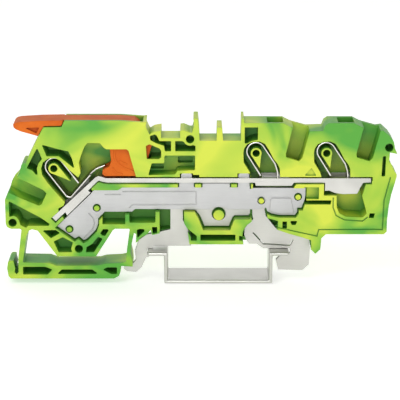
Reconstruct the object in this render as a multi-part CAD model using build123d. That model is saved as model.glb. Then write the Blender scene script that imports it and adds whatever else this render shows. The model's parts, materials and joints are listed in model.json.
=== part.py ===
from build123d import *
import os

# A rail-mount earth terminal block with one lever clamp and two push-in clamps.
# Frame: x along the block, y across its thickness (open face at -y), z up.
# Origin: middle of the rail seat, on the rail's upper edge. All sizes in millimetres.

os.makedirs("parts", exist_ok=True)

# ---------------------------------------------------------------- driving dimensions
THICKNESS = 7.5                      # side to side, one pitch on the rail
OPEN_FACE = -THICKNESS / 2
CLOSED_FACE = THICKNESS / 2
SIDE_WALL = 0.8                      # moulded wall on the closed side
FLOOR = CLOSED_FACE - SIDE_WALL      # bottom of a deep pocket
MID_FLOOR = 0.9                      # bottom of a half-deep pocket
SKIN = -2.8                          # inner side of the thin layer over hidden slots
HIDDEN_BACK = 2.8                    # far side of a hidden slot
GROOVE = OPEN_FACE + 0.5             # bottom of a shallow groove
CUT = 1.0                            # extra length of a cutting tool
CHANNEL_GAP = 0.15                   # air round the metal parts

BAR_FRONT, BAR_BACK = -2.9, 2.75     # current bar, across the block
BAR_TOP, BAR_BOTTOM = 18.45, 17.3
PLATE_FRONT, PLATE_BACK = -2.3, -1.2
FOOT_FRONT, FOOT_BACK = -1.2, -0.1
SPRING_FRONT, SPRING_BACK = -2.0, 2.1
LEVER_FRONT, LEVER_BACK = -2.6, 2.6

CLAMP_PITCH = 17.1                   # from one push-in clamp to the next
LEVER_PIVOT = (-22.0, 29.45)
LEVER_COIL = (-40.0, 21.1)           # centre of the lever clamp's spring loop
PUSH_COIL = (9.1, 24.95)             # centre of the first push-in clamp's loop
LATCH_PIVOT = (10.5, 12.65)
PEG_SOCKETS = [(-50.4, 7.4), (-34.3, 0.7), (-6.9, 28.45), (41.3, 26.35)]
PLATE_PEGS = [(-36.6, 5.35), (-29.8, 10.8), LATCH_PIVOT, (19.5, 13.6)]
PEG_RADIUS = 0.65
CENTRE_PEG = (0.1, 8.95)
CENTRE_PEG_RADIUS = 1.3


# ---------------------------------------------------------------- small helpers
def prism(outline, near, far, corner=0.0):
    """A slab between two depths, cut to an outline in (x, z)."""
    face = make_face(Polyline(*outline, close=True))
    if corner:
        face = fillet(face.vertices(), corner)
    return extrude(Plane.XZ.offset(-far) * face, amount=far - near)


def rod(centre, radius, near, far):
    """A round rod that lies along y."""
    face = Pos(*centre) * Circle(radius)
    return extrude(Plane.XZ.offset(-far) * face, amount=far - near)


def ribbon(lines, near, far, thickness=0.42):
    """A bent strip with its centre line in (x, z), drawn as joined lines."""
    strip = trace([edge for line in lines for edge in line.edges()], thickness)
    return extrude(Plane.XZ.offset(-far) * strip, amount=far - near)


def shifted(points, dx):
    return [(x + dx, z) for x, z in points]


def write(name, shape):
    shape.label = name
    export_step(shape, f"parts/{name}.step")


# ---------------------------------------------------------------- outlines of the housing
HOUSING_OUTLINE = [
    (-43.5, 29.25), (-42.3, 31.4), (-37.9, 31.5), (-37.2, 33.05), (-24.0, 33.05), (-18.3, 32.65),
    (-17.4, 32.75), (-17.6, 31.6), (-17.1, 30.4), (-16.7, 29.65), (-15.6, 30.3), (-13.9, 30.6),
    (-13.9, 28.75), (-9.3, 28.75), (-9.3, 30.6), (-8.4, 30.7), (-7.0, 30.1), (-6.4, 30.1),
    (-5.9, 31.7), (-6.1, 33.6), (-5.0, 33.6), (-4.7, 30.6), (-4.6, 28.1), (-0.5, 28.1),
    (-0.4, 31.4), (0.8, 31.4), (1.1, 28.1), (5.4, 28.1), (5.5, 33.6), (6.1, 33.6),
    (6.2, 32.45), (15.6, 32.45), (17.4, 31.5), (21.3, 30.4), (25.2, 30.5), (25.7, 31.85),
    (26.6, 32.45), (32.7, 32.45), (34.5, 31.5), (38.4, 30.4), (39.8, 30.6), (41.4, 29.15),
    (42.4, 27.7), (42.7, 26.15), (43.3, 24.8), (41.5, 25.15), (41.4, 22.85), (41.8, 22.45),
    (42.7, 20.4), (43.3, 19.65), (43.3, 19.05), (42.8, 17.1), (42.1, 14.5), (41.6, 11.55),
    (41.3, 8.05), (41.3, 5.15), (40.6, 4.45), (26.4, 4.45), (25.3, 3.4), (25.1, 0.6),
    (23.9, -0.6), (22.8, 0.5), (22.6, 2.05), (20.4, 1.85), (-15.2, 1.85), (-16.2, 4.0),
    (-16.6, 5.55), (-17.4, 4.55), (-19.0, 3.6), (-19.9, 2.45), (-20.3, 2.25), (-20.2, 3.4),
    (-20.2, 4.55), (-20.7, 4.75), (-21.5, 1.05), (-21.6, -0.5), (-21.2, -2.05), (-21.1, -3.9),
    (-24.0, -3.75), (-24.1, -5.1), (-24.5, -6.3), (-25.7, -7.0), (-51.2, -7.0), (-51.8, -6.4),
    (-52.1, -4.4), (-51.9, -2.9), (-51.5, -2.45), (-50.5, -2.45), (-50.35, -3.3), (-50.1, -4.4),
    (-50.3, -5.3), (-49.8, -5.9), (-49.3, -5.3), (-49.3, -2.05), (-48.3, 5.55), (-48.6, 5.85), (-50.9, 5.85),
    (-51.8, 6.3), (-52.1, 7.3), (-52.1, 13.3), (-51.3, 15.05), (-50.9, 16.4), (-50.1, 17.8),
    (-49.1, 18.85), (-48.4, 19.9), (-47.9, 21.85), (-47.5, 22.45), (-46.8, 22.45), (-45.7, 24.8),
    (-44.4, 27.4),
]

BASE_WINDOW = [
    (-45.7, 5.75), (-44.3, 5.35), (-39.6, -1.25), (-30.1, -1.25), (-25.9, 5.45), (-25.3, 5.85),
    (-21.7, 5.85), (-22.4, 1.05), (-22.8, -2.7), (-24.0, -2.95), (-27.9, -3.15), (-29.4, -3.6),
    (-39.9, -3.7), (-41.8, -2.95), (-48.2, -2.85), (-47.4, 2.05), (-47.1, 4.1), (-46.5, 5.35),
]

# name: (floor, corner radius, outline)
POCKETS = {
    "left_upper": (FLOOR, 0.25, [(-43.9, 26.35), (-42.8, 23.5), (-43.7, 22.35), (-44.1, 21.1),
                                 (-43.9, 19.05), (-45.2, 20.6), (-46.6, 21.2)]),
    "lever_cheek": (FLOOR, 0.2, [(-42.8, 27.1), (-38.7, 25.95), (-36.4, 25.45), (-35.6, 23.8),
                                 (-34.9, 21.0), (-38.7, 24.2), (-41.7, 24.2)]),
    "left_funnel": (2.3, 0.3, [(-53.5, 21.0), (-48.5, 18.65), (-42.6, 15.65), (-41.9, 14.85),
                               (-43.2, 12.05), (-43.9, 11.75), (-48.4, 13.7), (-51.1, 15.05),
                               (-53.5, 15.85)]),
    "left_foot_cell": (FLOOR, 0.2, [(-51.2, 12.9), (-43.6, 8.75), (-41.3, 7.1), (-41.6, 6.6),
                                    (-46.6, 6.6), (-47.2, 6.1), (-48.5, 6.8), (-48.8, 7.95),
                                    (-49.4, 8.85), (-50.2, 9.15), (-51.2, 8.85)]),
    "leg_cell_top": (FLOOR, 0.2, [(-43.2, 5.45), (-39.9, 5.55), (-38.8, 4.75), (-41.1, 3.4)]),
    "leg_cell_low": (MID_FLOOR, 0.25, [(-40.5, 2.6), (-38.2, 3.7), (-35.7, 2.35), (-36.2, 0.7),
                                       (-35.9, -0.2), (-39.3, -0.2)]),
    "leg_cell_right": (FLOOR, 0.2, [(-32.4, 1.15), (-31.0, 1.95), (-29.5, 3.8), (-28.4, 3.3),
                                    (-30.6, -0.2), (-32.6, -0.2)]),
    "leg_cell_small": (FLOOR, 0.15, [(-28.3, 5.75), (-27.1, 5.75), (-26.9, 5.35), (-27.8, 4.0),
                                     (-28.5, 4.1), (-29.0, 4.65)]),
    "base_slot_1": (FLOOR, 0.25, [(-48.2, -3.95), (-42.7, -3.95), (-40.9, -4.65), (-42.1, -5.95),
                                  (-48.2, -5.95)]),
    "base_slot_2": (FLOOR, 0.25, [(-39.9, -5.85), (-38.6, -4.65), (-31.1, -4.65), (-29.5, -5.85)]),
    "base_slot_3": (FLOOR, 0.25, [(-28.6, -4.65), (-27.3, -4.1), (-25.0, -4.1), (-25.0, -5.85),
                                  (-26.4, -5.85)]),
    "marker_cell_left": (FLOOR, 0.2, [(-16.6, 29.25), (-15.5, 29.65), (-15.0, 29.45),
                                      (-14.3, 28.0), (-11.5, 28.0), (-11.5, 25.45),
                                      (-13.0, 25.45), (-13.2, 26.8), (-15.2, 27.5),
                                      (-16.5, 28.2)]),
    "marker_cell_right": (FLOOR, 0.2, [(-10.5, 28.0), (-8.9, 28.0), (-5.6, 26.8),
                                       (-5.6, 25.45), (-10.5, 25.45)]),
    "lever_window": (FLOOR, 0.3, [(-17.6, 26.8), (-16.7, 27.2), (-14.3, 26.15), (-13.9, 25.55),
                                  (-13.9, 23.9), (-14.5, 23.5), (-17.4, 23.5)]),
    "middle_cell": (MID_FLOOR, 0.25, [(-13.1, 24.4), (-5.7, 24.4), (-5.7, 20.7), (-9.9, 20.6),
                                      (-10.6, 19.65), (-17.1, 19.45), (-16.2, 22.45),
                                      (-13.2, 22.45)]),
    "middle_cell_deep": (FLOOR, 0.3, [(-9.9, 22.95), (-6.3, 22.95), (-6.3, 21.4), (-9.9, 21.4)]),
    "middle_cell_left": (FLOOR, 0.2, [(-16.0, 22.05), (-13.4, 22.05), (-13.4, 19.9),
                                      (-16.6, 19.9)]),
    "test_recess": (FLOOR, 0.15, [(6.3, 31.4), (9.5, 31.4), (9.5, 28.3), (8.0, 28.0),
                                  (6.9, 27.4), (6.3, 27.4)]),
    "cell_1": (1.6, 0.15, [(-28.4, 9.7), (-22.8, 9.7), (-22.8, 7.0), (-28.4, 7.0)]),
    "cell_2": (1.6, 0.3, [(-21.8, 10.6), (-15.4, 10.6), (-15.4, 7.4), (-21.8, 7.4)]),
    "cell_3": (FLOOR, 0.15, [(-14.4, 10.6), (-11.9, 10.6), (-11.9, 4.85), (-14.4, 4.55)]),
    "cell_4": (FLOOR, 0.15, [(-16.3, 6.3), (-15.0, 6.3), (-15.0, 4.75), (-16.1, 4.55)]),
    "hook_cell": (FLOOR, 0.2, [(-20.0, 5.55), (-19.3, 5.85), (-18.2, 5.75), (-18.1, 5.15),
                               (-19.1, 4.2), (-19.9, 3.4)]),
    "bridge_left": (FLOOR, 0.15, [(-8.4, 6.6), (-5.3, 4.0), (-5.3, 2.8), (-6.7, 2.8),
                                  (-6.8, 3.8)]),
    "bridge_middle": (FLOOR, 0.15, [(-4.4, 4.35), (4.2, 4.35), (4.2, 2.8), (-4.4, 2.8)]),
    "bridge_right": (FLOOR, 0.15, [(5.1, 4.1), (6.4, 3.7), (6.6, 2.8), (5.1, 2.8)]),
    "right_cell_1": (FLOOR, 0.15, [(12.1, 8.55), (14.6, 7.85), (14.6, 5.85), (13.6, 5.35)]),
    "right_cell_2": (FLOOR, 0.15, [(15.7, 7.7), (16.8, 7.7), (16.8, 5.75), (15.7, 5.85)]),
    "right_cell_3": (FLOOR, 0.25, [(17.5, 7.85), (19.4, 7.85), (18.9, 6.8), (18.0, 6.8)]),
    "outer_well": (2.5, 0.6, [(28.8, 15.65), (34.6, 15.65), (35.0, 14.4), (36.3, 9.8),
                              (35.3, 8.75), (31.2, 8.95), (29.6, 9.8), (28.9, 11.35)]),
    "slot_long": (FLOOR, 0.12, [(20.9, 13.1), (27.6, 13.1), (27.4, 12.05), (20.9, 12.05)]),
    "box_right": (-1.9, 0.12, [(20.9, 16.4), (24.5, 16.4), (24.5, 13.4), (20.9, 13.4)]),
    "dot_hole": (FLOOR, 0.12, [(37.0, 9.8), (38.3, 9.8), (38.0, 8.55), (36.8, 8.65)]),
    "triangle": (GROOVE, 0.15, [(20.9, 19.35), (23.8, 19.35), (22.6, 21.3)]),
    "side_slit": (MID_FLOOR, 0.25, [(40.6, 24.3), (39.8, 24.1), (39.6, 19.15), (40.5, 19.15)]),
}


def wire_funnel(dx):
    """Mouth of a push-in clamp, open on the open face."""
    outline = [(18.6, 33.5), (17.7, 30.6), (16.3, 24.8), (16.4, 23.9), (19.5, 22.95),
               (20.3, 23.8), (21.2, 27.4), (21.9, 30.1), (23.2, 33.5)]
    return prism(shifted(outline, dx), OPEN_FACE - CUT, 2.3, 0.25)


def coil_pocket(dx):
    """Room for the loop and legs of a push-in clamp's spring."""
    outline = [(6.0, 25.15), (6.2, 26.15), (6.9, 27.2), (8.2, 27.8), (9.9, 27.9), (11.2, 27.3),
               (12.2, 25.75), (13.3, 23.6), (14.4, 22.15), (14.9, 21.0), (15.0, 18.35),
               (8.1, 18.35), (7.6, 20.2), (6.1, 22.65)]
    return prism(shifted(outline, dx), OPEN_FACE - CUT, FLOOR, 0.2)


def coil_core(centre, tip, radius=1.32):
    """Teardrop core that the spring loop is threaded on, with its cored hole."""
    cx, cz = centre
    tx, tz = tip
    core = rod(centre, radius, OPEN_FACE, FLOOR)
    side = Vector(tz - cz, cx - tx).normalized() * radius
    wedge = [(cx + side.X, cz + side.Y), (tx, tz), (cx - side.X, cz - side.Y)]
    core += prism(wedge, OPEN_FACE, FLOOR)
    return core - rod(centre, 0.9, OPEN_FACE - CUT, FLOOR)


# ---------------------------------------------------------------- metal outlines
BAR_OUTLINE = [
    (-40.8, 8.45), (-30.0, 18.65), (-29.3, 19.0), (-28.6, 18.85), (-27.6, 18.5),
    (-26.9, BAR_TOP), (37.2, BAR_TOP), (37.2, BAR_BOTTOM), (-27.0, BAR_BOTTOM),
    (-28.0, 17.45), (-29.1, 17.8), (-29.5, 17.6), (-39.9, 7.5),
]
PLATE_OUTLINE = [
    (-39.6, 6.1), (-31.3, 14.3), (-30.4, 15.35), (-24.4, 15.35), (-23.4, 16.05), (-9.6, 16.05),
    (-9.6, 17.1), (-6.0, 17.1), (-6.0, 16.05), (-3.9, 16.05), (-3.9, 17.0), (2.8, 17.0),
    (2.8, 16.05), (4.8, 16.05), (4.8, 17.1), (7.6, 17.1),
    (7.7, 15.55), (8.4, 15.85), (21.3, 15.85), (21.3, 14.1), (21.1, 12.75), (20.4, 10.8),
    (19.3, 10.8), (19.4, 9.8), (18.8, 8.95), (15.0, 8.95), (13.0, 9.35), (12.0, 9.9),
    (11.7, 10.8), (10.6, 10.8), (10.6, 10.4), (2.3, 10.4), (1.3, 11.0), (-1.1, 11.0),
    (-2.1, 10.4), (-20.4, 10.5), (-21.2, 9.8), (-27.9, 9.8), (-29.5, 8.05), (-29.5, 6.8),
    (-30.1, 5.15), (-32.3, 2.9), (-33.1, 2.45), (-34.3, 3.5), (-35.3, 2.9),
]
FOOT_OUTLINE = [
    (-11.8, 13.4), (-11.8, 4.95), (-14.3, 4.35), (-17.7, 3.6), (-19.6, 2.25), (-20.6, -0.6),
    (-20.4, -3.0), (-21.1, -3.8), (-23.3, -3.8), (-23.4, -5.25), (-22.6, -5.95), (-20.3, -6.1),
    (-19.0, -4.85), (-17.9, -2.45), (-17.0, -2.05), (-16.9, -1.2), (-17.6, -1.15), (-17.6, 0.0),
    (-16.4, 0.0), (-15.9, 0.7), (-6.7, 0.7), (-6.7, 3.3), (-7.9, 5.75), (-8.7, 7.3),
    (-8.7, 9.9), (-5.6, 9.9), (-4.5, 8.55), (-3.4, 5.85), (2.6, 5.85), (3.5, 8.05), (4.0, 8.55),
    (7.4, 8.55), (7.8, 9.15), (7.8, 13.4),
]
LATCH_OUTLINE = [
    (8.35, 11.85), (8.35, 8.75), (8.6, 7.6), (7.4, 6.5), (6.5, 5.15), (6.4, 3.6), (6.8, 2.45),
    (7.6, 1.25), (9.4, 1.25), (11.1, 0.05), (17.75, 0.05), (17.75, -1.15), (16.0, -1.45),
    (15.0, -2.25), (14.3, -3.0), (14.5, -4.0), (14.9, -5.45), (20.9, -5.65), (22.5, -4.2),
    (22.7, 0.1), (22.4, 2.6), (20.3, 3.4), (17.4, 4.2), (14.1, 5.35), (11.7, 8.45), (11.4, 10.1),
    (12.3, 11.85),
]
# The latch swings outward, so the housing is cut back behind its open face.
LATCH_SWEEP = [
    (7.9, 15.15), (7.9, 8.95), (6.0, 5.35), (6.0, 1.05), (25.0, -1.05), (25.4, 2.7), (24.4, 5.05),
    (22.0, 6.1), (17.4, 6.8), (15.2, 7.6), (13.3, 9.9), (13.4, 15.15),
]


# Shallow lines: steps of the inner wall on the right, and round the outer clamp's well.
WALL_LINES = [
    [(14.5, 6.2), (24.2, 4.0), (24.6, 5.65), (38.2, 5.75), (40.2, 5.65), (40.4, 13.1),
     (41.8, 18.95)],
    [(28.0, 13.8), (28.0, 11.35), (28.8, 9.25), (30.9, 8.15), (35.3, 7.85), (36.5, 8.85)],
]
# Pressed lines in the ground plate.
PLATE_LINES = [
    [(-23.4, 14.95), (-5.4, 14.95), (-5.4, 11.65), (-21.1, 11.55), (-21.9, 10.8)],
    [(-27.8, 14.2), (-23.9, 14.2)],
    [(-31.8, 9.5), (-30.7, 8.15), (-30.4, 6.8), (-30.9, 5.25), (-33.0, 3.2)],
]


def cut_grown(outline, growth, near, far):
    """A cutting slab, grown all round by a clearance."""
    face = make_face(Polyline(*outline, close=True))
    face = offset(face, amount=growth, kind=Kind.INTERSECTION)
    return extrude(Plane.XZ.offset(-far) * face, amount=far - near)


# ---------------------------------------------------------------- housing
LEVER_CHAMBER = [
    (-43.1, 21.1), (-42.6, 22.65), (-41.4, 23.6), (-39.6, 23.8), (-38.2, 22.95), (-36.2, 20.7),
    (-34.1, 18.85), (-33.5, 20.0), (-33.9, 22.65), (-33.1, 25.05), (-32.4, 26.7), (-31.7, 27.5),
    (-28.7, 27.5), (-27.9, 26.45), (-27.2, 25.95), (-22.3, 25.95), (-21.8, 25.55), (-21.3, 23.6),
    (-20.1, 19.25), (-20.1, 18.0), (-28.6, 18.55), (-30.1, 18.45), (-39.0, 10.0), (-39.2, 11.0),
    (-37.8, 11.75), (-37.5, 12.65), (-38.5, 13.8), (-41.5, 17.4), (-42.9, 19.55),
]
LEVER_SLOT = [
    (-38.4, 34.0), (-38.4, 31.3), (-34.1, 30.9), (-34.1, 22.65), (-33.6, 19.45), (-31.0, 18.25),
    (-19.4, 18.55), (-18.3, 19.8), (-16.6, 23.05), (-15.3, 26.35), (-15.6, 28.45), (-18.2, 30.5),
    (-18.3, 34.0),
]


def housing_cutters():
    """Everything that is taken out of the moulded block."""
    cutters = [prism(BASE_WINDOW, OPEN_FACE - CUT, CLOSED_FACE + CUT, 0.25)]
    for floor, corner, outline in POCKETS.values():
        cutters.append(prism(outline, OPEN_FACE - CUT, floor, corner))
    cutters.append(prism(LEVER_CHAMBER, OPEN_FACE - CUT, FLOOR, 0.2))
    cutters.append(prism(LEVER_SLOT, SKIN, HIDDEN_BACK))
    cutters.append(rod(LEVER_PIVOT, 1.3, SKIN - 0.55, FLOOR + 0.35))
    for dx in (0.0, CLAMP_PITCH):
        cutters.append(wire_funnel(dx))
        cutters.append(coil_pocket(dx))
        driver_slot = [(11.7, 33.5), (15.7, 33.5), (15.2, 24.7), (12.4, 24.7)]
        cutters.append(prism(shifted(driver_slot, dx), SKIN, HIDDEN_BACK))
        wire_way = [(16.6, 24.3), (20.2, 23.9), (18.4, 17.5), (14.0, 17.5)]
        cutters.append(prism(shifted(wire_way, dx), SKIN, 2.3))
    # channels for the metal
    cutters.append(cut_grown(BAR_OUTLINE, CHANNEL_GAP, OPEN_FACE - CUT, FLOOR))
    cutters.append(cut_grown(PLATE_OUTLINE, 0.3, OPEN_FACE - CUT, PLATE_BACK))
    cutters.append(cut_grown(FOOT_OUTLINE, 0.25, FOOT_FRONT - CUT, FOOT_BACK + 0.1))
    return cutters


def open_foot_area():
    """The housing stops behind the foot and the latch where these show."""
    foot_view = [(-11.9, 10.8), (-11.9, 5.25), (-17.8, 3.9), (-20.4, 1.05), (-7.0, 1.05),
                 (-7.6, 5.85), (-8.4, 7.3), (-8.4, 10.8)]
    tongue_view = [(-6.2, 10.8), (-4.9, 8.45), (-3.7, 5.45), (2.9, 5.45), (3.9, 8.05), (4.3, 8.25),
                   (7.7, 8.25), (8.3, 8.85), (8.3, 10.8)]
    latch_view = [(8.0, 10.8), (8.0, 9.15), (8.2, 7.7), (6.9, 6.7), (6.0, 5.25), (5.9, 3.5),
                  (6.3, 1.05), (22.9, 1.05), (22.8, 2.9), (20.4, 3.7), (17.4, 4.55),
                  (14.3, 5.65), (12.0, 8.65), (11.9, 10.8)]
    return [prism(view, OPEN_FACE - CUT, FOOT_BACK + 0.1)
            for view in (foot_view, tongue_view, latch_view)]


def make_housing():
    body = prism(HOUSING_OUTLINE, OPEN_FACE, CLOSED_FACE)
    for cutter in housing_cutters() + open_foot_area():
        body -= cutter
    body -= prism(LATCH_SWEEP, FOOT_FRONT - 0.15, FOOT_BACK + 0.15)
    for left_edge in (-9.4, 4.6):
        notch = [(left_edge, 19.9), (left_edge + 3.2, 19.9), (left_edge + 3.2, 15.95),
                 (left_edge, 15.95)]
        body -= prism(notch, OPEN_FACE - CUT, PLATE_BACK + 0.1)
    body -= prism([(-6.3, 19.55), (-4.7, 19.55), (-4.7, 18.0), (-6.3, 18.0)],
                  OPEN_FACE - CUT, MID_FLOOR)
    # open gap along the top of the bar
    body -= prism([(-28.4, 18.0), (-28.0, 19.35), (-26.8, 19.0), (37.5, 19.0), (37.5, 18.0)],
                  OPEN_FACE - CUT, FLOOR)
    # collars of the bar
    body -= prism([(25.7, 17.5), (25.7, 14.3), (35.1, 14.3), (36.0, 17.5)],
                  OPEN_FACE - CUT, FLOOR, 0.2)
    body -= prism([(8.4, 17.5), (8.4, 15.65), (18.0, 15.65), (19.2, 17.5)],
                  OPEN_FACE - CUT, FLOOR)
    body -= prism([(-38.2, 8.95), (-37.4, 7.6), (-30.2, 14.75), (-31.3, 16.4)],
                  OPEN_FACE - CUT, FLOOR)
    for line in WALL_LINES:
        body -= ribbon([Polyline(*line)], OPEN_FACE - CUT, OPEN_FACE + 0.35, 0.3)
    # cores, pegs and ringed sockets are added last
    body += coil_core(LEVER_COIL, (-36.0, 18.0))
    for dx in (0.0, CLAMP_PITCH):
        body += coil_core((PUSH_COIL[0] + dx, PUSH_COIL[1]), (10.0 + dx, 21.2))
    for centre in PLATE_PEGS:
        body += rod(centre, PEG_RADIUS, PLATE_FRONT - 0.5, FLOOR + 0.2)
    body += rod(CENTRE_PEG, CENTRE_PEG_RADIUS, PLATE_FRONT - 0.2, FLOOR + 0.2)
    for centre in PEG_SOCKETS:
        body += rod(centre, 1.6, OPEN_FACE, FLOOR + 0.2) & prism(HOUSING_OUTLINE, OPEN_FACE,
                                                                 CLOSED_FACE)
        body -= rod(centre, 1.02, OPEN_FACE - CUT, FLOOR - 0.4)
    return body


# ---------------------------------------------------------------- current bar and plates
def make_current_bar():
    bar = prism(BAR_OUTLINE, BAR_FRONT, BAR_BACK)
    middle = [(8.9, BAR_BOTTOM), (9.1, 16.55), (17.9, 16.55), (18.4, BAR_BOTTOM)]
    outer = [(26.0, BAR_BOTTOM), (26.0, 15.25), (27.0, 15.35), (28.4, 14.75), (30.4, 14.45),
             (33.9, 14.55), (34.7, 16.25), (35.3, BAR_BOTTOM)]
    left = [(-37.5, 9.9), (-37.1, 8.95), (-31.2, 14.85), (-31.9, 15.35)]
    for collar in (middle, outer, left):
        bar += prism(collar, BAR_FRONT, BAR_BACK)
    for dx in (0.0, CLAMP_PITCH):
        opening = [(10.6, 19.55), (17.6, 19.55), (17.6, 13.4), (10.6, 13.4)]
        bar -= prism(shifted(opening, dx), -2.15, 2.25)
    left_opening = [(-38.3, 12.15), (-32.4, 17.7), (-30.7, 15.85), (-36.6, 9.25)]
    bar -= prism(left_opening, -2.15, 2.25)
    for left_edge, right_edge in ((-9.1, -6.5), (4.9, 7.5)):
        slot = [(left_edge, 19.55), (right_edge, 19.55), (right_edge, 16.5), (left_edge, 16.5)]
        bar -= prism(slot, PLATE_FRONT, PLATE_BACK)
    return bar


def make_ground_plate():
    plate = prism(PLATE_OUTLINE, PLATE_FRONT, PLATE_BACK)
    for left_edge, right_edge in ((-9.1, -6.5), (4.9, 7.5)):
        tab = [(left_edge, 19.25), (left_edge + 0.3, 19.55), (right_edge - 0.3, 19.55),
               (right_edge, 19.25), (right_edge, 16.5), (left_edge, 16.5)]
        plate += prism(tab, PLATE_FRONT, PLATE_BACK)
    # pressed-out roof over the end of the middle clamp's wire
    bulge = [(12.9, 13.3), (17.7, 13.3), (18.5, 9.6), (15.2, 9.35), (12.6, 10.1)]
    plate += prism(bulge, PLATE_FRONT - 0.35, PLATE_FRONT, 0.3)
    for line in PLATE_LINES:
        plate -= ribbon([Polyline(*line)], PLATE_FRONT - CUT, PLATE_FRONT + 0.18, 0.25)
    for centre in PLATE_PEGS:
        plate -= rod(centre, 0.98, PLATE_FRONT - CUT, PLATE_BACK + CUT)
    return plate


def make_rail_foot():
    foot = prism(FOOT_OUTLINE, FOOT_FRONT, FOOT_BACK)
    return foot - rod(CENTRE_PEG, 1.7, FOOT_FRONT - CUT, FOOT_BACK + CUT)


def make_rail_latch():
    latch = prism(LATCH_OUTLINE, FOOT_FRONT, FOOT_BACK)
    latch += rod(LATCH_PIVOT, 2.1, FOOT_FRONT, FOOT_BACK)
    latch -= rod(LATCH_PIVOT, PEG_RADIUS + 0.05, FOOT_FRONT - CUT, FOOT_BACK + CUT)
    slit = FilletPolyline((8.6, 4.1), (9.5, 3.1), (11.2, 1.15), (12.2, 1.15), (17.7, 0.75),
                          (18.5, 2.25), radius=0.15)
    return latch - ribbon([slit], FOOT_FRONT - CUT, FOOT_BACK + CUT, 0.3)


# ---------------------------------------------------------------- springs
COIL_RADIUS = 2.2


def push_spring_fixed(dx):
    """Anchor leg and loop of a push-in clamp, up to where the clamping leg starts."""
    loop = CenterArc((PUSH_COIL[0] + dx, PUSH_COIL[1]), COIL_RADIUS, 66, 150)
    return ribbon([loop, Line(loop @ 1, (10.3 + dx, 18.85))], SPRING_FRONT, SPRING_BACK)


def push_spring_leg(dx):
    """Clamping leg of a push-in clamp: it bears on the wire inside the bar's collar."""
    start = CenterArc((PUSH_COIL[0] + dx, PUSH_COIL[1]), COIL_RADIUS, 36, 26)
    knee = FilletPolyline(start @ 0, (13.8 + dx, 21.85), (14.4 + dx, 20.0), (14.6 + dx, 17.3),
                          radius=0.9)
    return ribbon([start, knee], SPRING_FRONT, SPRING_BACK)


def lever_spring_fixed():
    loop = CenterArc(LEVER_COIL, COIL_RADIUS, 36, 158)
    return ribbon([Line((-34.2, 17.0), loop @ 0), loop], SPRING_FRONT, SPRING_BACK)


def lever_spring_leg():
    """Clamping leg, hairpin and the tail that the lever's cam lifts."""
    start = CenterArc(LEVER_COIL, COIL_RADIUS, 198, 20)
    path = FilletPolyline(start @ 1, (-37.2, 13.6), (-36.2, 13.3), (-30.9, 19.45),
                          (-29.9, 20.3), (-27.7, 21.15), radius=0.35)
    leg = ribbon([start, path], SPRING_FRONT, SPRING_BACK)
    for near, far in ((SPRING_FRONT - CUT, -0.9), (1.1, SPRING_BACK + CUT)):
        leg -= prism([(-31.3, 22.65), (-27.0, 22.65), (-27.0, 18.0), (-31.3, 18.0)], near, far)
    return leg


# ---------------------------------------------------------------- lever
GRIP_OUTLINE = [
    (-49.6, 32.05), (-49.0, 32.45), (-48.0, 32.65), (-43.0, 32.95), (-37.6, 33.05), (-37.6, 32.55),
    (-38.0, 31.7), (-42.2, 31.6), (-43.7, 29.15), (-47.7, 30.3), (-48.9, 30.8), (-49.5, 31.3),
]
LEVER_BODY = [
    (-38.0, 33.05), (-24.0, 33.05), (-20.4, 32.75), (-19.2, 31.85), (-18.65, 30.5), (-17.9, 29.05),
    (-16.2, 26.7), (-17.1, 23.7), (-18.9, 20.0), (-19.9, 18.95), (-27.7, 18.95), (-28.3, 19.45),
    (-28.2, 20.5), (-26.6, 21.3), (-26.1, 22.65), (-26.4, 25.95), (-26.4, 31.6), (-38.0, 31.85),
]


def make_lever():
    lever = prism(GRIP_OUTLINE, -3.4, 3.2) + prism(LEVER_BODY, LEVER_FRONT, LEVER_BACK)
    recess = [(-46.9, 31.2), (-43.3, 31.3), (-44.0, 29.85)]
    lever -= prism(recess, -3.4 - CUT, -2.6, 0.15)
    lever += rod(LEVER_PIVOT, 1.25, SKIN - 0.5, FLOOR + 0.3)
    tail_way = [(-29.0, 21.85), (-26.5, 21.95), (-23.8, 21.75), (-20.9, 22.25), (-16.0, 23.7),
                (-16.0, 17.5), (-29.0, 17.5)]
    return lever - prism(tail_way, -1.1, 1.3)


# ---------------------------------------------------------------- write every node
write("housing", make_housing())
write("current_bar", make_current_bar())
write("ground_plate", make_ground_plate())
write("rail_foot", make_rail_foot())
write("rail_latch", make_rail_latch())
write("lever", make_lever())
write("lever_spring", lever_spring_fixed())
write("lever_spring_leg", lever_spring_leg())
write("middle_spring", push_spring_fixed(0.0))
write("middle_spring_leg", push_spring_leg(0.0))
write("outer_spring", push_spring_fixed(CLAMP_PITCH))
write("outer_spring_leg", push_spring_leg(CLAMP_PITCH))
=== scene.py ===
# %% [markdown]
# # A rail-mount terminal block, seen from its open side
# The block is a thin moulded slice that stands on a mounting rail. Its open
# side shows the current bar, the ground plate, the springs and the lever. The
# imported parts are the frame, and this lesson gives them their finishes and
# adds the fine pieces that are too small to be worth a solid.

import json
import math

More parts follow.
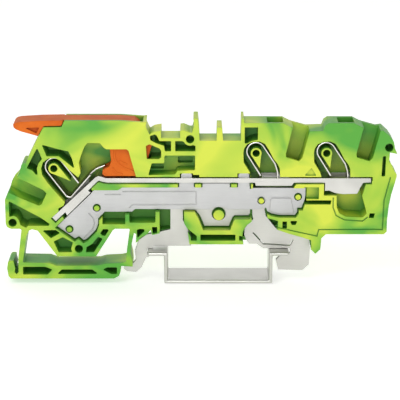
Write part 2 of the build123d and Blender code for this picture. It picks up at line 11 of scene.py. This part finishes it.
import bpy
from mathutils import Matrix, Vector


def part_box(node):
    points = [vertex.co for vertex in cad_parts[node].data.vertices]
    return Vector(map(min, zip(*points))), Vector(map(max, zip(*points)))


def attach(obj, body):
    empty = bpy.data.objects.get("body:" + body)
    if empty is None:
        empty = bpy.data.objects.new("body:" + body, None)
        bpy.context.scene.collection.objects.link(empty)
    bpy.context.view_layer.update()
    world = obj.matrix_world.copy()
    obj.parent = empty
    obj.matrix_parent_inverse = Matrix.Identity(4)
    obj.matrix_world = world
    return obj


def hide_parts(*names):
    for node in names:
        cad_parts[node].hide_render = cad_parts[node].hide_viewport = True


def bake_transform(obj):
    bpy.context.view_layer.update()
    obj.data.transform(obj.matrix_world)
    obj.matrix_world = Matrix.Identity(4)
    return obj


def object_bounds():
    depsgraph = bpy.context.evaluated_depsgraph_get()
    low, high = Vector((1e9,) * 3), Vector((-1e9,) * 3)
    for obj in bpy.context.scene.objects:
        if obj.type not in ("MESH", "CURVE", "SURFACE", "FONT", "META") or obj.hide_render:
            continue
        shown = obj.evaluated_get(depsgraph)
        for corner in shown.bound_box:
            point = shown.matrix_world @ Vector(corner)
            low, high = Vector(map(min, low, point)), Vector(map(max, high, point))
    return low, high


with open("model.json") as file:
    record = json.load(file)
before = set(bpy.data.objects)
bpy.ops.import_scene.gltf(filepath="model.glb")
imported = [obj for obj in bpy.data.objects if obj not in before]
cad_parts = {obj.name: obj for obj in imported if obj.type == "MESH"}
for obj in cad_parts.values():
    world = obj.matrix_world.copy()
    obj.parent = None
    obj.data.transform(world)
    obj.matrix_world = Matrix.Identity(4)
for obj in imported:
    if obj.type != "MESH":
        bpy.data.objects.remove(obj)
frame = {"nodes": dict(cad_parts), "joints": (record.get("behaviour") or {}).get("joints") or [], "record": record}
cad_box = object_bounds()
nodes = frame["nodes"]
MM = 0.001
print("nodes:", sorted(nodes))
print("CAD box:", [tuple(round(v, 4) for v in corner) for corner in cad_box])

# %% [markdown]
# ## Where the open side and the hinges lie
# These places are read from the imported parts, so a piece that hangs on a hinge
# follows it if it moves.


# %% Places read from the parts
def joint_place(name):
    """The point that a joint turns about, in metres."""
    joint = next(j for j in frame["joints"] if j["name"] == name)
    return Vector(joint["pos_m"])


open_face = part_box("housing")[0].y
lever_coil = joint_place("lever_clamp")
push_coils = {which: joint_place(which + "_clamp") for which in ("middle", "outer")}
print("open face at y =", round(open_face / MM, 2), "mm")

# %% [markdown]
# ## Colours
# Paint charts give a colour as an sRGB hex value. Blender's shaders work in
# linear light, so one function does that change for every colour used below.


# %% Turn a hex value into linear light
def linear(hex_value):
    """'#rrggbb' as linear red, green, blue and an alpha of 1."""
    channels = [int(hex_value[i : i + 2], 16) / 255 for i in (1, 3, 5)]
    return [
        c / 12.92 if c <= 0.04045 else ((c + 0.055) / 1.055) ** 2.4 for c in channels
    ] + [1.0]


# %% [markdown]
# ## One helper for shader nodes
# A material is a small graph. This function adds one node, sets its values and
# joins its inputs to other nodes, so each material below reads as a short list.


# %% Add a node with its settings and links
def add(tree, kind, settings=None, **inputs):
    """Adds a node. An input is a value, or a (node, output name) pair to link.

    An input is given by its name, or as in0 or in1 where two share one name.
    """
    node = tree.nodes.new(kind)
    for name, value in (settings or {}).items():
        setattr(node, name, value)
    for name, value in inputs.items():
        key = int(name[2:]) if name.startswith("in") else name.replace("_", " ")
        socket = node.inputs[key]
        if isinstance(value, tuple) and isinstance(value[0], bpy.types.Node):
            tree.links.new(value[0].outputs[value[1]], socket)
        else:
            socket.default_value = value
    return node


def per_mm(millimetres):
    """A texture scale whose pattern repeats about once in that length."""
    return 1.0 / (millimetres * MM)


def new_material(name, **shader_values):
    """A material with a Principled shader, and the tree and shader to add to."""
    material = bpy.data.materials.new(name)
    material.use_nodes = True
    tree = material.node_tree
    shader = tree.nodes["Principled BSDF"]
    for key, value in shader_values.items():
        shader.inputs[key.replace("_", " ")].default_value = value
    return material, tree, shader


# %% [markdown]
# ## Painted shade in the recesses
# Light that falls into a deep cell bounces off coloured walls before it comes out, so the cells look darker and
# richer than the rims. Here that shade is painted into the colour: an ambient occlusion node measures how closed
# in each point is, and that mixes in a darker, painted shade.


# %% Paint a darker shade where a surface is closed in
MOST_PAINTED_SHADE = 0.9  # the deepest point keeps a tenth of the open colour


def paint_recess_shade(tree, colour, recess_shade_colour, reach_mm, open_at=0.75, closed_at=0.2):
    """The colour on open faces, with a painted shade mixed in at the bottom of cells."""
    enclosure = add(
        tree, "ShaderNodeAmbientOcclusion", {"samples": 12}, Distance=reach_mm * MM
    )
    closed = add(
        tree,
        "ShaderNodeMapRange",
        {"interpolation_type": "SMOOTHSTEP"},
        Value=(enclosure, "AO"),
        From_Min=closed_at,
        From_Max=open_at,
        To_Min=MOST_PAINTED_SHADE,
        To_Max=0.0,
    )
    return add(
        tree,
        "ShaderNodeMixRGB",
        Fac=(closed, "Result"),
        Color1=colour,
        Color2=linear(recess_shade_colour),
    )


# %% [markdown]
# ## Soft edges and fine grain
# A moulded or stamped edge is never quite sharp, and it shows as a narrow
# highlight. A Bevel node rounds the edges in the shading alone, so the meshes
# stay light. A Bump node on top of it lays a fine relief over the faces: the
# grain of a spark-eroded mould, or the marks of rolling.


# %% Round the edges in the shading and lay on a relief
def relief(tree, shader, height, edge_mm, strength, depth_mm):
    """Rounds a piece's edges in the shading and lays a fine relief over its faces."""
    edge = add(tree, "ShaderNodeBevel", {"samples": 6}, Radius=edge_mm * MM)
    bump = add(
        tree,
        "ShaderNodeBump",
        Height=(height, "Fac"),
        Normal=(edge, "Normal"),
        Strength=strength,
        Distance=depth_mm * MM,
    )
    tree.links.new(bump.outputs["Normal"], shader.inputs["Normal"])


def mould_grain(tree, shader, where, grain_mm, edge_mm, strength):
    """The fine grain of a spark-eroded mould."""
    grain = add(
        tree, "ShaderNodeTexNoise", Vector=(where, "Object"), Scale=per_mm(grain_mm), Detail=2.0
    )
    relief(tree, shader, grain, edge_mm, strength, 0.03)


# %% [markdown]
# ## Marbled polyamide for the housing
# The real housing is injection-moulded polyamide. Green and yellow granules
# are mixed in the barrel, so the flow leaves soft swirls of one in the other,
# a few millimetres wide and drawn out along the part. A distorted noise draws
# the swirls. A soft gradient is added to it, because yellow stays near the
# middle, where the melt enters the mould, and green is carried to the ends. The
# surface has the satin grain of a spark-eroded mould.


# %% Make the marbled polyamide
GATE = (-3.0 * MM, 0.0, 22.0 * MM)  # where the melt enters the mould
FLOW_REACH = (60.0 * MM, 60.0 * MM, 36.0 * MM)  # how far the yellow is carried


def marbled_polyamide():
    material, tree, shader = new_material(
        "marbled polyamide, moulded satin", Roughness=0.45, IOR=1.5
    )
    where = add(tree, "ShaderNodeTexCoord")
    stretched = add(
        tree,
        "ShaderNodeMapping",
        Vector=(where, "Object"),
        Scale=(0.7, 1.0, 1.0),
        Rotation=(0.0, math.radians(30), 0.0),
    )
    swirl = add(
        tree,
        "ShaderNodeTexNoise",
        Vector=(stretched, "Vector"),
        Scale=per_mm(15),
        Detail=2.5,
        Roughness=0.45,
        Distortion=1.1,
    )
    from_gate = add(
        tree,
        "ShaderNodeMapping",
        {"vector_type": "TEXTURE"},
        Vector=(where, "Object"),
        Location=GATE,
        Scale=FLOW_REACH,
    )
    flow = add(
        tree, "ShaderNodeTexGradient", {"gradient_type": "SPHERICAL"}, Vector=(from_gate, "Vector")
    )
    lift = add(
        tree,
        "ShaderNodeMapRange",
        Value=(flow, "Fac"),
        From_Min=0.1,
        From_Max=0.75,
        To_Min=-0.09,
        To_Max=0.09,
    )
    mixed = add(
        tree, "ShaderNodeMath", {"operation": "ADD"}, in0=(swirl, "Fac"), in1=(lift, "Result")
    )
    ramp = add(tree, "ShaderNodeValToRGB", Fac=(mixed, "Value"))
    stops = ramp.color_ramp.elements
    stops[0].position, stops[0].color = 0.37, linear("#4FA52B")
    stops[1].position, stops[1].color = 0.66, linear("#D2DE3E")
    middle = stops.new(0.47)
    middle.color = linear("#98C52F")
    # Painted shade: the housing's recesses are mixed towards a darker green.
    with_recess_shade = paint_recess_shade(tree, (ramp, "Color"), "#409428", 5.0)
    tree.links.new(with_recess_shade.outputs["Color"], shader.inputs["Base Color"])
    mould_grain(tree, shader, where, 0.35, 0.14, 0.12)
    return material


# %% [markdown]
# ## Glass-filled polyamide for the lever
# The lever is a stiffer grade of the same plastic, with short glass fibres. It
# is one even orange with a faint cloud, and duller than the housing because the
# fibres roughen its surface.


# %% Make the orange lever plastic
def orange_polyamide():
    material, tree, shader = new_material(
        "glass-filled polyamide, orange", Roughness=0.55, Specular_IOR_Level=0.2
    )
    where = add(tree, "ShaderNodeTexCoord")
    cloud = add(
        tree, "ShaderNodeTexNoise", Vector=(where, "Object"), Scale=per_mm(5), Detail=3.0
    )
    ramp = add(tree, "ShaderNodeValToRGB", Fac=(cloud, "Fac"))
    stops = ramp.color_ramp.elements
    stops[0].position, stops[0].color = 0.3, linear("#CC5A0C")
    stops[1].position, stops[1].color = 0.7, linear("#E07018")
    # Painted shade: the lever's recesses are mixed towards a darker orange.
    with_recess_shade = paint_recess_shade(tree, (ramp, "Color"), "#B84A0A", 3.0)
    tree.links.new(with_recess_shade.outputs["Color"], shader.inputs["Base Color"])
    mould_grain(tree, shader, where, 0.3, 0.2, 0.1)
    return material


# %% [markdown]
# ## Plated metals
# The bar is copper with a rolled tin coat, the plates are stamped sheet with a
# matt nickel coat, and the springs are rolled steel. All three are the same
# recipe with other numbers: a metal whose roughness changes along the rolling
# direction. Metal keeps the default index of refraction.


# %% Make a rolled, plated metal
MARK_MM = 0.2  # width of a rolling mark, coarser than a real one so that it shows


def rolled_metal(name, tint, shade, roughness, rolling_mm, edge_mm):
    """Metal with rolling marks of the given length, and with edges rounded in the shading."""
    material, tree, shader = new_material(name, Metallic=1.0)
    where = add(tree, "ShaderNodeTexCoord")
    drawn = add(
        tree, "ShaderNodeMapping", Vector=(where, "Object"), Scale=(MARK_MM / rolling_mm, 1.0, 1.0)
    )
    marks = add(
        tree, "ShaderNodeTexNoise", Vector=(drawn, "Vector"), Scale=per_mm(MARK_MM), Detail=2.0
    )
    cloud = add(
        tree, "ShaderNodeTexNoise", Vector=(where, "Object"), Scale=per_mm(7), Detail=2.0
    )
    ramp = add(tree, "ShaderNodeValToRGB", Fac=(cloud, "Fac"))
    stops = ramp.color_ramp.elements
    stops[0].position, stops[0].color = 0.3, linear(shade)
    stops[1].position, stops[1].color = 0.7, linear(tint)
    tree.links.new(ramp.outputs["Color"], shader.inputs["Base Color"])
    rough = add(
        tree,
        "ShaderNodeMapRange",
        Value=(marks, "Fac"),
        To_Min=roughness * 0.8,
        To_Max=roughness * 1.25,
    )
    tree.links.new(rough.outputs["Result"], shader.inputs["Roughness"])
    relief(tree, shader, marks, edge_mm, 0.08, 0.01)
    return material


# %% [markdown]
# ## Spring steel
# The strip's wide faces are painted a dark bronze shade, in place of the dark surroundings that they reflect, and
# only its narrow slit edges keep the bright steel colour. The slit edges all face along the block's thickness, so
# the surface's own y direction tells them apart.


# %% Make the spring steel, with painted shade on its wide faces
def spring_steel():
    material = rolled_metal("spring steel, painted shade on the wide faces", "#E6E4E0", "#CFCCC6", 0.2, 6, 0.06)
    tree = material.node_tree
    shader = tree.nodes["Principled BSDF"]
    bright = shader.inputs["Base Color"].links[0].from_node
    facing = add(tree, "ShaderNodeTexCoord")
    split = add(tree, "ShaderNodeSeparateXYZ", Vector=(facing, "Normal"))
    across = add(tree, "ShaderNodeMath", {"operation": "ABSOLUTE"}, in0=(split, "Y"))
    edge = add(
        tree, "ShaderNodeMapRange", Value=(across, "Value"), From_Min=0.3, From_Max=0.6
    )
    # Painted shade: the faces that don't face along y are mixed towards a dark bronze.
    shade_painted_faces = add(
        tree,
        "ShaderNodeMixRGB",
        Fac=(edge, "Result"),
        Color1=linear("#6E584B"),
        Color2=(bright, "Color"),
    )
    tree.links.new(shade_painted_faces.outputs["Color"], shader.inputs["Base Color"])
    return material


# %% [markdown]
# ## One finish for each part
# The record names a material slot for every part. Each part takes the finish of
# its slot, so the two bodies of one spring are the same steel.

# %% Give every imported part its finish
finishes = {
    "housing_plastic": marbled_polyamide(),
    "lever_plastic": orange_polyamide(),
    "bar_metal": rolled_metal("tin-plated copper, rolled", "#D2D1CC", "#BFBEB9", 0.3, 8, 0.1),
    "plate_metal": rolled_metal(
        "nickel-plated sheet, matt", "#C4C4C4", "#BABABA", 0.5, 3, 0.12
    ),
    "foot_metal": rolled_metal(
        "nickel-plated sheet, light", "#CECDC8", "#C5C4BF", 0.5, 3, 0.12
    ),
    "spring_steel": spring_steel(),
}
slot_of = {s["node"]: s["material_slot"] for s in frame["record"]["subparts"]}
for name, node in nodes.items():
    node.data.materials.clear()
    node.data.materials.append(finishes[slot_of[name]])
print("finished", len(nodes), "packed parts")

# %% [markdown]
# ## Spring strips
# Each clamp spring is one strip, bent round its core. The imported model has it as stiff pieces that hinge on the
# core, so here each strip is drawn again as one bent piece. A Geometry Nodes tree sweeps a rounded strip section
# along a path of a few points: the path is the only thing that differs from one spring to the next, and the
# strip's size comes in by name.


# %% A tree that sweeps a strip along a path
def strip_tree():
    tree = bpy.data.node_groups.new("strip along path", "GeometryNodeTree")
    face = tree.interface
    face.new_socket("Geometry", in_out="INPUT", socket_type="NodeSocketGeometry")
    for name, value in (
        ("Strip Width", 4.1 * MM),
        ("Strip Thickness", 0.42 * MM),
        ("Bend Radius", 0.35 * MM),
        ("Edge Radius", 0.1 * MM),
    ):
        socket = face.new_socket(name, in_out="INPUT", socket_type="NodeSocketFloat")
        socket.default_value = value
    face.new_socket("Finish", in_out="INPUT", socket_type="NodeSocketMaterial")
    face.new_socket("Geometry", in_out="OUTPUT", socket_type="NodeSocketGeometry")
    sizes = add(tree, "NodeGroupInput")
    path = add(tree, "GeometryNodeMeshToCurve", Mesh=(sizes, "Geometry"))
    bent = add(
        tree,
        "GeometryNodeFilletCurve",
        {"mode": "POLY"},
        Curve=(path, "Curve"),
        Count=5,
        Radius=(sizes, "Bend Radius"),
    )
    section = add(
        tree,
        "GeometryNodeCurvePrimitiveQuadrilateral",
        Width=(sizes, "Strip Width"),
        Height=(sizes, "Strip Thickness"),
    )
    eased = add(
        tree,
        "GeometryNodeFilletCurve",
        {"mode": "POLY"},
        Curve=(section, "Curve"),
        Count=3,
        Radius=(sizes, "Edge Radius"),
    )
    swept = add(
        tree,
        "GeometryNodeCurveToMesh",
        Curve=(bent, "Curve"),
        Profile_Curve=(eased, "Curve"),
        Fill_Caps=True,
    )
    real = add(tree, "GeometryNodeRealizeInstances", Geometry=(swept, "Mesh"))
    painted = add(
        tree, "GeometryNodeSetMaterial", Geometry=(real, "Geometry"), Material=(sizes, "Finish")
    )
    add(tree, "NodeGroupOutput", Geometry=(painted, "Geometry"))
    return tree


def new_object(name, data):
    """A mesh, lamp or camera as an object in the scene."""
    thing = bpy.data.objects.new(name, data)
    bpy.context.scene.collection.objects.link(thing)
    return thing


def run_tree(name, points, tree, values):
    """A plain mesh object: the tree's result on a line through the points."""
    line = [(i, i + 1) for i in range(len(points) - 1)]
    seed_mesh = bpy.data.meshes.new(name + " path")
    seed_mesh.from_pydata(points, line, [])
    seed = new_object(name + " path", seed_mesh)
    modifier = seed.modifiers.new("shape", "NODES")
    modifier.node_group = tree
    for item in tree.interface.items_tree:
        if item.in_out == "INPUT" and item.name in values:
            modifier[item.identifier] = values[item.name]
    depsgraph = bpy.context.evaluated_depsgraph_get()
    mesh = bpy.data.meshes.new_from_object(seed.evaluated_get(depsgraph))
    bpy.data.objects.remove(seed)
    mesh.name = name
    print(name, "has", len(mesh.polygons), "faces")
    return new_object(name, mesh)


def arc(centre, radius, start, end, steps=20):
    """Points on an arc in x and z, from one angle to another, in degrees."""
    angles = [math.radians(start + (end - start) * i / steps) for i in range(steps + 1)]
    return [
        (centre.x + radius * math.cos(a), centre.z + radius * math.sin(a)) for a in angles
    ]


COIL_RADIUS = 2.2 * MM
strip_middle = (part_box("middle_spring")[0].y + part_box("middle_spring")[1].y) / 2
sweep_strip = strip_tree()


def strip_piece(name, path, **sizes):
    """A strip of spring steel along a path in x and z, at the springs' depth."""
    points = [(x, strip_middle, z) for x, z in path]
    values = {k.replace("_", " "): v for k, v in sizes.items()}
    values["Finish"] = finishes["spring_steel"]
    piece = run_tree(name, points, sweep_strip, values)
    return piece


def mm_path(*pairs):
    """Points in x and z given in millimetres, as metres."""
    return [(x * MM, z * MM) for x, z in pairs]


# %% [markdown]
# ### The two push-in springs
# The loop hangs on the core. The short leg is anchored in the housing and the
# long leg presses the wire into the bar's collar.

# %% Build the push-in springs
for which, coil in push_coils.items():
    dx = coil.x / MM - push_coils["middle"].x / MM
    anchor = mm_path((10.3 + dx, 18.85))
    leg = mm_path((13.8 + dx, 21.85), (14.4 + dx, 20.0), (14.6 + dx, 17.3))
    path = anchor + arc(coil, COIL_RADIUS, 216, 36, 26) + leg
    spring = strip_piece(which + "_clamp_strip", path)
    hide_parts(which + "_spring", which + "_spring_leg")
    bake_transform(spring)

# %% [markdown]
# ### The lever clamp's spring
# Here the leg goes on round a hairpin into a tail that the lever's cam lifts.
# The tail lies beyond the anchor leg, so the strip is two pieces that meet end to end on the clamping leg: the
# loop, drawn bent round its core, and the rest, which turns as one. The tail's tip is narrower, to fit the way cut
# into the cam.

# %% Build the lever clamp's spring
anchor = mm_path((-34.2, 17.0))
joint_point = mm_path((-40.9, 18.6))
loop = strip_piece(
    "lever_clamp_strip", anchor + arc(lever_coil, COIL_RADIUS, 36, 218, 26) + joint_point
)
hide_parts("lever_spring")
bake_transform(loop)
tail = strip_piece(
    "lever_clamp_hairpin",
    joint_point + mm_path((-37.2, 13.6), (-36.2, 13.3), (-31.3, 19.0)),
)
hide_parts("lever_spring_leg")
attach(tail, "lever_clamp_leg")
tip = strip_piece(
    "lever_clamp_tail_tip",
    mm_path((-31.35, 18.95), (-30.9, 19.45), (-29.9, 20.3), (-27.7, 21.15)),
    Strip_Width=2.0 * MM,
)
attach(tip, "lever_clamp_leg")

# %% [markdown]
# ## Ridges on the lever's cam
# The cam's face has moulded guide ridges. They follow short bent paths, so the
# same strip tree draws them, sunk into the face they stand on. They stand out by
# 0.13 mm, and that leaves room under the housing's skin as the lever turns.

# %% Build the cam's ridges
CAM_FACE = -2.6 * MM
RIDGE_MIDDLE = CAM_FACE + 0.05 * MM  # a ridge is sunk by more than half of its depth
RIDGE_SIZES = {
    "Strip Width": 0.36 * MM,
    "Strip Thickness": 0.55 * MM,
    "Bend Radius": 0.6 * MM,
    "Edge Radius": 0.1 * MM,
    "Finish": finishes["lever_plastic"],
}
RIDGES = {
    "cam_ridge_outer": mm_path(
        (-25.1, 25.75), (-25.3, 24.6), (-25.2, 23.6), (-24.8, 22.35), (-23.9, 21.55),
        (-22.6, 20.8), (-20.4, 19.9)),
    "cam_ridge_lower": mm_path((-25.7, 21.0), (-25.3, 20.2), (-24.7, 19.65), (-23.4, 19.35)),
    "cam_ridge_inner": mm_path((-24.0, 22.75), (-23.3, 22.25), (-22.3, 21.85)),
}
for name, path in RIDGES.items():
    points = [(x, RIDGE_MIDDLE, z) for x, z in path]
    ridge = run_tree(name, points, sweep_strip, RIDGE_SIZES)
    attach(ridge, "lever")

# %% [markdown]
# ## Floor, light and camera
# The setting is a small product studio. A sweep of white paper is the floor and
# the backdrop in one: its bend has a wide radius, so no line shows behind the
# block. It is a stage piece, and not part of the object.

# %% Build the paper sweep
FLOOR_Z = -8.3 * MM  # just under the rail
PAPER_REACH = 2.0  # metres, to the front and to each side
BEND_START, BEND, WALL_TOP = 0.7, 0.3, 1.6  # metres behind, of radius and up
sweep_line = [(-PAPER_REACH, FLOOR_Z)] + [
    (BEND_START + BEND * math.sin(a), FLOOR_Z + BEND * (1 - math.cos(a)))
    for a in (math.radians(d) for d in range(0, 91, 10))
] + [(BEND_START + BEND, WALL_TOP)]
sweep_mesh = bpy.data.meshes.new("studio_sweep")
sweep_mesh.from_pydata(
    [(x, y, z) for y, z in sweep_line for x in (-PAPER_REACH, PAPER_REACH)],
    [],
    [(2 * i, 2 * i + 1, 2 * i + 3, 2 * i + 2) for i in range(len(sweep_line) - 1)],
)
sweep_mesh.shade_smooth()
sweep = new_object("studio_sweep", sweep_mesh)
paper = new_material(
    "matt paper, white and lit from behind",
    Base_Color=linear("#F4F4F2"),
    Roughness=0.9,
    Emission_Color=linear("#FFFFFF"),
    Emission_Strength=0.45,
)[0]
sweep_mesh.materials.append(paper)
print("paper sweep:", len(sweep_mesh.polygons), "faces")

# %% [markdown]
# ### A short piece of rail
# The block hangs on a standard 35 mm top-hat rail. The rail isn't part of it,
# so it is only a stage piece: a bent sheet, one outline given a length.

# %% Build the rail
def sheet_outline(centre_line, thickness):
    """A closed outline in x and z round a line of right-angled runs."""
    half = thickness / 2
    sides = []
    for sign in (1, -1):
        side = []
        for i, (x, z) in enumerate(centre_line):
            runs = [
                (Vector(centre_line[j + 1]) - Vector(centre_line[j])).normalized()
                for j in (i - 1, i)
                if 0 <= j < len(centre_line) - 1
            ]
            shift = sum((Vector((-r.y, r.x)) for r in runs), Vector((0, 0))) * half * sign
            side.append((x + shift.x, z + shift.y))
        sides.append(side)
    return sides[0] + sides[1][::-1]


RAIL_FRONT, RAIL_BACK, RAIL_SHEET = -4.6 * MM, 5.4 * MM, 0.9 * MM
rail_line = mm_path(
    (-17.4, -0.5), (-12.9, -0.5), (-12.9, -7.6), (12.9, -7.6), (12.9, -0.5), (17.4, -0.5))
outline = sheet_outline(rail_line, RAIL_SHEET)
count = len(outline)
half = count // 2
rail_mesh = bpy.data.meshes.new("studio_rail")
rail_mesh.from_pydata(
    [(x, RAIL_FRONT, z) for x, z in outline] + [(x, RAIL_BACK, z) for x, z in outline],
    [],
    [(i, (i + 1) % count, count + (i + 1) % count, count + i) for i in range(count)]
    + [(i, count - 1 - i, count - 2 - i, i + 1) for i in range(half - 1)]
    + [(count + i, count + i + 1, 2 * count - 2 - i, 2 * count - 1 - i) for i in range(half - 1)],
)
rail = new_object("studio_rail", rail_mesh)
rounded = rail.modifiers.new("bends", "BEVEL")
rounded.width, rounded.segments = 0.3 * MM, 3
rail_mesh.materials.append(
    rolled_metal("zinc-plated steel rail", "#CACAC4", "#BEBEB8", 0.3, 4, 0.2))
print("rail:", len(rail_mesh.polygons), "faces")

# %% [markdown]
# ### Light
# Large soft lights keep the shadows gentle. The key stands at the upper left, a
# light in front reaches the bottom of the cells, and a weak fill and a top
# light open the shadows. The world adds an even pale light.


# %% Light
def area_light(name, place, target, size, power):
    """A square light at a place, turned towards the target."""
    lamp = bpy.data.lights.new(name, "AREA")
    lamp.shape, lamp.size, lamp.energy = "SQUARE", size, power
    thing = new_object(name, lamp)
    thing.location = place
    thing.rotation_euler = (Vector(target) - Vector(place)).to_track_quat("-Z", "Y").to_euler()


world = bpy.data.worlds.new("studio")
bpy.context.scene.world = world
world.use_nodes = True
sky = world.node_tree.nodes["Background"].inputs
sky["Color"].default_value, sky["Strength"].default_value = linear("#FFFFFF"), 0.3
low, high = cad_box
middle_of_block = Vector(((low[0] + high[0]) / 2, 0.0, (low[2] + high[2]) / 2))
# name: place in metres, side in metres, power in watts
LIGHTS = {
    "key": ((-0.25, -0.35, 0.45), 0.3, 0.95),
    "front": ((-0.05, -0.6, 0.12), 0.2, 0.85),
    "fill": ((0.4, -0.4, 0.2), 0.3, 0.3),
    "top": ((0.0, 0.1, 0.5), 0.35, 0.3),
}
for name, (place, size, power) in LIGHTS.items():
    area_light(name, place, middle_of_block, size, power)
print("lights:", list(LIGHTS))

# %% [markdown]
# ### Camera
# The camera looks at the open side from a little above. It stands well back
# with a long lens, so the block's edges stay nearly parallel.

# %% Camera
bpy.context.scene.view_settings.view_transform = "Standard"
ELEVATION = math.radians(16)
DISTANCE = 0.42
VIEW_WIDTH = 0.0976  # what the picture spans at the block, in metres
SENSOR_MM = 36.0
look_at = Vector((-0.0045, open_face, 0.0132))
eye = look_at + DISTANCE * Vector((0.0, -math.cos(ELEVATION), math.sin(ELEVATION)))
camera_data = bpy.data.cameras.new("camera")
camera_data.sensor_width = SENSOR_MM
camera_data.lens = SENSOR_MM * DISTANCE / VIEW_WIDTH
camera_data.clip_start = 0.01
camera = new_object("camera", camera_data)
camera.location = eye
camera.rotation_euler = (look_at - eye).to_track_quat("-Z", "Y").to_euler()
bpy.context.scene.camera = camera
print("camera", tuple(round(v, 3) for v in eye))
